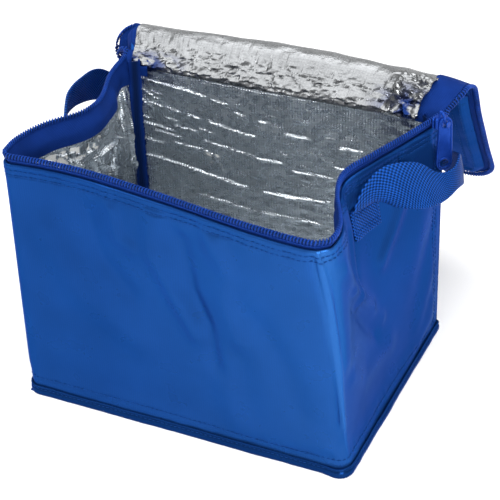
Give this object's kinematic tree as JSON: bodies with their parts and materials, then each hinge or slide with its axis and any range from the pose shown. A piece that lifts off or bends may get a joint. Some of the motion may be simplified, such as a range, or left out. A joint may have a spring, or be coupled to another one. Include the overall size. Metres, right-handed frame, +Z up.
{
  "type": "insulated cooler bag",
  "caption": "Soft box-shaped cooler bag with a foil-lined cavity, a zipped lid folded back over its rear edge, and a webbing carry handle.",
  "frame": {"origin": "middle of the base's underside", "axes": "+X to the right along the front, +Y to the back, +Z up"},
  "size_m": [0.265, 0.2621, 0.1766],
  "materials": {
    "outer_fabric": "coated nylon, satin",
    "foil": "metallised film, crinkled",
    "foam": "closed-cell foam sheet",
    "zip_tape": "fine woven tape",
    "zip_coil": "satin nylon",
    "binding": "folded binding tape",
    "webbing": "coarse woven webbing",
    "slider": "satin paint"
  },
  "bodies": {
    "body": {"base_panel": "outer_fabric", "base_welt": "outer_fabric", "outer_wrap": "outer_fabric", "back_panel": "outer_fabric", "base_foam": "foam", "foam_left": "foam", "foam_front": "foam", "foam_right": "foam", "foam_back": "foam", "base_foil": "foil", "foil_wrap": "foil", "foil_back": "foil", "binding_left": "binding", "binding_right": "binding", "zip_tape_body": "zip_tape", "zip_coil_body": "zip_coil", "handle_sewn_end_left": "webbing", "handle_sewn_end_right": "webbing"},
    "crest_low": {"crest_low_foil": "foil", "crest_low_outer": "outer_fabric"},
    "crest_high": {"crest_high_foil": "foil", "crest_high_outer": "outer_fabric"},
    "lid": {"lid_outer": "outer_fabric", "lid_foam": "foam", "lid_foil": "foil", "zip_tape_lid": "zip_tape", "zip_coil_lid": "zip_coil"},
    "handle": {"handle_strap": "webbing"},
    "slider": {"slider_body": "slider", "slider_crown": "slider"},
    "pull": {"pull_tab": "slider"}
  },
  "joints": [
    {"name": "lid_hinge", "type": "hinge", "parent": "body", "child": "crest_low", "pos_m": [0, 0.08, 0.168], "axis": [1, 0, 0], "range_deg": [0, 149]},
    {"name": "crest_fold", "type": "hinge", "parent": "crest_low", "child": "crest_high", "pos_m": [0, 0.09732, 0.178], "axis": [1, 0, 0], "range_deg": [0, 52]},
    {"name": "lid_fold", "type": "hinge", "parent": "crest_high", "child": "lid", "pos_m": [0, 0.11611, 0.17116], "axis": [1, 0, 0], "range_deg": [0, 42]},
    {"name": "handle_swing", "type": "hinge", "parent": "body", "child": "handle", "pos_m": [0, 0.002, 0.142], "axis": [1, 0, 0], "range_deg": [-20, 3]},
    {"name": "zip_travel", "type": "slide", "parent": "body", "child": "slider", "axis": [-0.3272, -0.945, 0], "range_m": [0, 0.03]},
    {"name": "pull_swing", "type": "hinge", "parent": "slider", "child": "pull", "pos_m": [0.10653, 0.06366, 0.1634], "axis": [0.945, -0.3272, 0], "range_deg": [-20, 10]}
  ],
  "couplings": [
    {"joint": "crest_fold", "follows": "lid_hinge", "ratio": 0.33333},
    {"joint": "lid_fold", "follows": "lid_hinge", "ratio": 0.26667}
  ]
}
